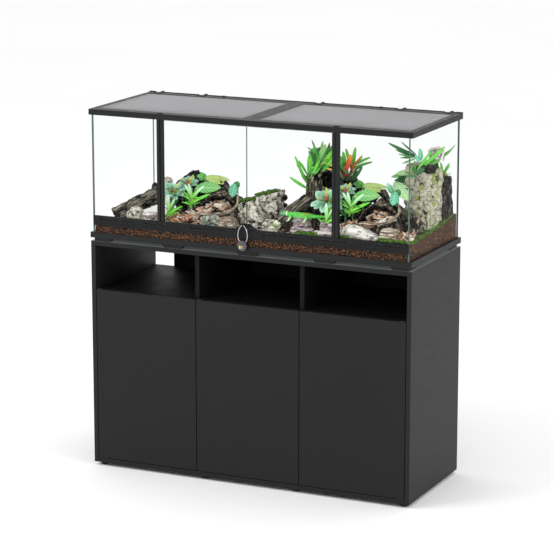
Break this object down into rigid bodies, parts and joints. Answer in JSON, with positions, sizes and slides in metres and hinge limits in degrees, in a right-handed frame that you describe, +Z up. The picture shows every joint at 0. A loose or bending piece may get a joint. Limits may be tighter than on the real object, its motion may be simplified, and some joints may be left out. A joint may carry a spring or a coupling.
{
  "type": "reptile terrarium",
  "caption": "Front-opening glass terrarium with mesh lids and a planted scene, on a matching cabinet with hinged doors and open niches.",
  "frame": {"origin": "on the floor under the middle of the cabinet", "axes": "+X to the right along the front, +Y to the back, +Z up"},
  "size_m": [1.2, 0.4812, 1.2785],
  "materials": {
    "dark_laminate": "fine-grained charcoal laminate on chipboard",
    "black_laminate": "near-black laminate inside the niches",
    "black_plastic": "satin charcoal moulded plastic",
    "steel": "zinc-plated steel",
    "mesh_steel": "woven stainless wire",
    "chrome_wire": "polished steel wire",
    "gloss_black": "black zinc casting with a smooth skin",
    "dial_yellow": "yellow moulded wheel",
    "dial_white": "white moulded wheel",
    "dial_grey": "grey moulded wheel",
    "clear_glass": "float glass with green edges",
    "soil": "damp bark and coconut soil",
    "moss": "living moss",
    "pale_stone": "river stone",
    "dark_stone": "rough dark rock",
    "brown_bark": "rough brown bark",
    "grey_cork": "furrowed virgin cork",
    "litter": "dry leaves and bark chips",
    "foliage": "living leaves",
    "gecko_skin": "green gecko skin"
  },
  "bodies": {
    "cabinet_and_tank": {"cabinet_base": "dark_laminate", "cabinet_top": "dark_laminate", "cabinet_sides": "dark_laminate", "cabinet_dividers": "black_laminate", "niche_shelves": "black_laminate", "cabinet_back": "black_laminate", "cabinet_feet": "black_plastic", "pivot_plates": "steel", "magnet_catches": "black_plastic", "tank_base_frame": "black_plastic", "floor_pane": "clear_glass", "back_pane": "clear_glass", "side_panes": "clear_glass", "lower_front_pane": "clear_glass", "front_lights": "clear_glass", "vent_rail": "black_plastic", "vent_mesh": "mesh_steel", "front_posts": "black_plastic", "top_frame": "black_plastic", "lid_ledges": "black_plastic", "substrate": "soil", "moss": "moss", "flat_stones": "pale_stone", "fallen_logs": "brown_bark", "dark_rocks": "dark_stone", "bark_hides": "brown_bark", "leaf_litter": "litter", "cork_stump": "grey_cork", "hollow_stump": "brown_bark", "cork_column": "grey_cork", "plants": "foliage", "gecko": "gecko_skin"},
    "left_cabinet_door": {"left_cabinet_door": "dark_laminate", "left_door_fittings": "steel"},
    "middle_cabinet_door": {"middle_cabinet_door": "dark_laminate", "middle_door_fittings": "steel"},
    "right_cabinet_door": {"right_cabinet_door": "dark_laminate", "right_door_fittings": "steel"},
    "left_glass_door": {"left_glass_door": "clear_glass", "left_hinge_strip": "black_plastic", "left_lock_tab": "black_plastic"},
    "right_glass_door": {"right_glass_door": "clear_glass", "right_hinge_strip": "black_plastic", "right_lock_tab": "black_plastic"},
    "left_lid": {"left_lid_frame": "black_plastic", "left_lid_mesh": "mesh_steel"},
    "right_lid": {"right_lid_frame": "black_plastic", "right_lid_mesh": "mesh_steel"},
    "left_lid_catch": {"left_lid_catch": "black_plastic"},
    "right_lid_catch": {"right_lid_catch": "black_plastic"},
    "cable_gate_1": {"cable_gate_1": "black_plastic"},
    "cable_gate_2": {"cable_gate_2": "black_plastic"},
    "cable_gate_3": {"cable_gate_3": "black_plastic"},
    "cable_gate_4": {"cable_gate_4": "black_plastic"},
    "cable_gate_5": {"cable_gate_5": "black_plastic"},
    "padlock_shackle": {"shackle": "chrome_wire"},
    "padlock_body": {"lock_body": "gloss_black"},
    "dial_1": {"dial_1": "dial_yellow"},
    "dial_2": {"dial_2": "dial_white"},
    "dial_3": {"dial_3": "dial_grey"}
  },
  "joints": [
    {"name": "left_cabinet_door_hinge", "type": "hinge", "parent": "cabinet_and_tank", "child": "left_cabinet_door", "pos_m": [-0.5763, -0.22, 0.03], "axis": [0, 0, -1], "range_deg": [0, 95]},
    {"name": "middle_cabinet_door_hinge", "type": "hinge", "parent": "cabinet_and_tank", "child": "middle_cabinet_door", "pos_m": [-0.1881, -0.22, 0.03], "axis": [0, 0, -1], "range_deg": [0, 95]},
    {"name": "right_cabinet_door_hinge", "type": "hinge", "parent": "cabinet_and_tank", "child": "right_cabinet_door", "pos_m": [0.5763, -0.22, 0.03], "axis": [0, 0, 1], "range_deg": [0, 95]},
    {"name": "left_glass_door_hinge", "type": "hinge", "parent": "cabinet_and_tank", "child": "left_glass_door", "pos_m": [-0.3204, -0.222, 0.903], "axis": [0, 0, -1], "range_deg": [0, 95]},
    {"name": "right_glass_door_hinge", "type": "hinge", "parent": "cabinet_and_tank", "child": "right_glass_door", "pos_m": [0.3204, -0.222, 0.903], "axis": [0, 0, 1], "range_deg": [0, 95]},
    {"name": "left_lid_hinge", "type": "hinge", "parent": "cabinet_and_tank", "child": "left_lid", "pos_m": [-0.3055, 0.18155, 1.27125], "axis": [-1, 0, 0], "range_deg": [0, 95]},
    {"name": "right_lid_hinge", "type": "hinge", "parent": "cabinet_and_tank", "child": "right_lid", "pos_m": [0.3055, 0.18155, 1.27125], "axis": [-1, 0, 0], "range_deg": [0, 95]},
    {"name": "left_lid_catch_turn", "type": "hinge", "parent": "cabinet_and_tank", "child": "left_lid_catch", "pos_m": [-0.3204, -0.2205, 1.2745], "axis": [0, 0, -1], "range_deg": [0, 90]},
    {"name": "right_lid_catch_turn", "type": "hinge", "parent": "cabinet_and_tank", "child": "right_lid_catch", "pos_m": [0.3204, -0.2205, 1.2745], "axis": [0, 0, 1], "range_deg": [0, 90]},
    {"name": "cable_gate_1_slide", "type": "slide", "parent": "cabinet_and_tank", "child": "cable_gate_1", "axis": [-1, 0, 0], "range_m": [0, 0.016]},
    {"name": "cable_gate_2_slide", "type": "slide", "parent": "cabinet_and_tank", "child": "cable_gate_2", "axis": [-1, 0, 0], "range_m": [0, 0.016]},
    {"name": "cable_gate_3_slide", "type": "slide", "parent": "cabinet_and_tank", "child": "cable_gate_3", "axis": [-1, 0, 0], "range_m": [0, 0.016]},
    {"name": "cable_gate_4_slide", "type": "slide", "parent": "cabinet_and_tank", "child": "cable_gate_4", "axis": [-1, 0, 0], "range_m": [0, 0.016]},
    {"name": "cable_gate_5_slide", "type": "slide", "parent": "cabinet_and_tank", "child": "cable_gate_5", "axis": [-1, 0, 0], "range_m": [0, 0.016]},
    {"name": "padlock_swing", "type": "hinge", "parent": "left_glass_door", "child": "padlock_shackle", "pos_m": [-0.009, -0.237, 0.91845], "axis": [-1, 0, 0], "range_deg": [0, 70]},
    {"name": "padlock_release", "type": "slide", "parent": "padlock_shackle", "child": "padlock_body", "axis": [0, 0, -1], "range_m": [0, 0.009]},
    {"name": "dial_1_spin", "type": "hinge", "parent": "padlock_body", "child": "dial_1", "pos_m": [-0.0164, -0.2386, 0.843], "axis": [1, 0, 0], "continuous": true},
    {"name": "dial_2_spin", "type": "hinge", "parent": "padlock_body", "child": "dial_2", "pos_m": [-0.009, -0.2386, 0.843], "axis": [1, 0, 0], "continuous": true},
    {"name": "dial_3_spin", "type": "hinge", "parent": "padlock_body", "child": "dial_3", "pos_m": [-0.0016, -0.2386, 0.843], "axis": [1, 0, 0], "continuous": true}
  ]
}
